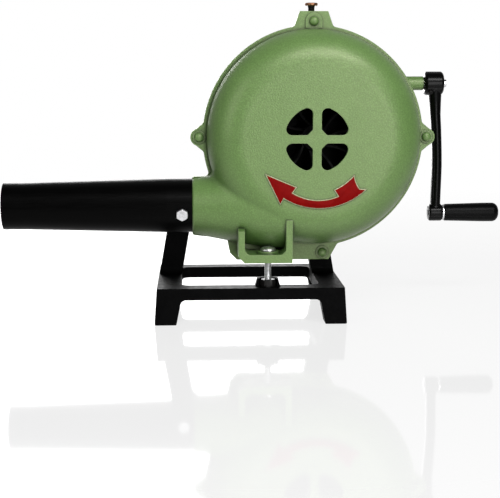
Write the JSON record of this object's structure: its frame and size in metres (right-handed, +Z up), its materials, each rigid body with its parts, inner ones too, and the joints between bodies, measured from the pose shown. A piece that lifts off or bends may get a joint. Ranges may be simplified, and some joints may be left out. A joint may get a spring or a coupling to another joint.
{
  "type": "hand crank forge blower",
  "caption": "Hand cranked centrifugal blower for a forge: round split cast casing, worm drive, side crank with a free turning grip, tapered blast pipe and a bolt-down cast stand.",
  "frame": {"origin": "centre of the part's footprint box, on the surface that its four feet stand on", "axes": "+Z up; +X to the right, from the blast pipe's mouth towards the crank's grip; +Y to the back, along the fan's shaft from the vents to the gear case"},
  "size_m": [0.6266, 0.2202, 0.381],
  "materials": {
    "green_casting": "green enamel paint over fine sand casting",
    "black_casting": "black paint over a casting, semi gloss",
    "black_forging": "glossy black paint over a forging",
    "black_tube": "satin black paint over sheet steel",
    "red_paint": "red paint on a raised casting",
    "zinc_steel": "zinc plated steel",
    "dark_steel": "blackened steel",
    "bright_steel": "ground steel",
    "copper_brass": "aged copper brown brass",
    "bronze": "machined bronze",
    "fan_paint": "dull black paint over steel",
    "black_plastic": "moulded black plastic",
    "seal_rubber": "moulded rubber",
    "gasket_paper": "pressed gasket paper"
  },
  "bodies": {
    "root": {"front_housing": "green_casting", "rear_housing": "green_casting", "direction_arrow": "red_paint", "housing_bolts": "green_casting", "housing_nuts": "green_casting", "oil_cup": "dark_steel", "blast_pipe": "black_tube", "pipe_screw": "zinc_steel", "stand": "black_casting", "level_bolt": "zinc_steel", "level_nut": "dark_steel", "saddle_bolts": "dark_steel", "case_gasket": "gasket_paper", "case_cover": "green_casting", "cover_screws": "zinc_steel", "bearing_outer_rings": "bright_steel", "bearing_balls": "bright_steel", "shaft_seal": "seal_rubber", "bearing_cap": "green_casting", "bearing_cap_screws": "zinc_steel", "crank_bush_outer": "bronze", "crank_bush_cover": "bronze"},
    "fan": {"worm_shaft": "bright_steel", "fan_plate": "fan_paint", "fan_blades": "fan_paint", "fan_nut": "zinc_steel", "bearing_inner_rings": "bright_steel"},
    "crank": {"crank_shaft": "bright_steel", "worm_wheel": "bronze", "wheel_pin": "bright_steel", "wheel_spacers": "bright_steel", "crank_arm": "black_forging", "hub_set_screw": "dark_steel", "grip_pin": "zinc_steel", "grip_washer": "zinc_steel"},
    "grip": {"crank_grip": "black_plastic", "grip_end_cap": "black_plastic"},
    "lid": {"oil_cap": "copper_brass"}
  },
  "joints": [
    {"name": "crank_turn", "type": "hinge", "parent": "root", "child": "crank", "pos_m": [0.0592, 0.04347, 0.2835], "axis": [1, 0, 0], "continuous": true},
    {"name": "fan_spin", "type": "hinge", "parent": "root", "child": "fan", "pos_m": [0.0592, -0.05253, 0.2205], "axis": [0, 1, 0], "continuous": true},
    {"name": "grip_spin", "type": "hinge", "parent": "crank", "child": "grip", "pos_m": [0.2742, 0.04347, 0.1161], "axis": [1, 0, 0], "continuous": true},
    {"name": "oil_cap_lift", "type": "slide", "parent": "root", "child": "lid", "axis": [0, 0, 1], "range_m": [0, 0.02]}
  ],
  "couplings": [
    {"joint": "fan_spin", "follows": "crank_turn", "ratio": -25}
  ]
}
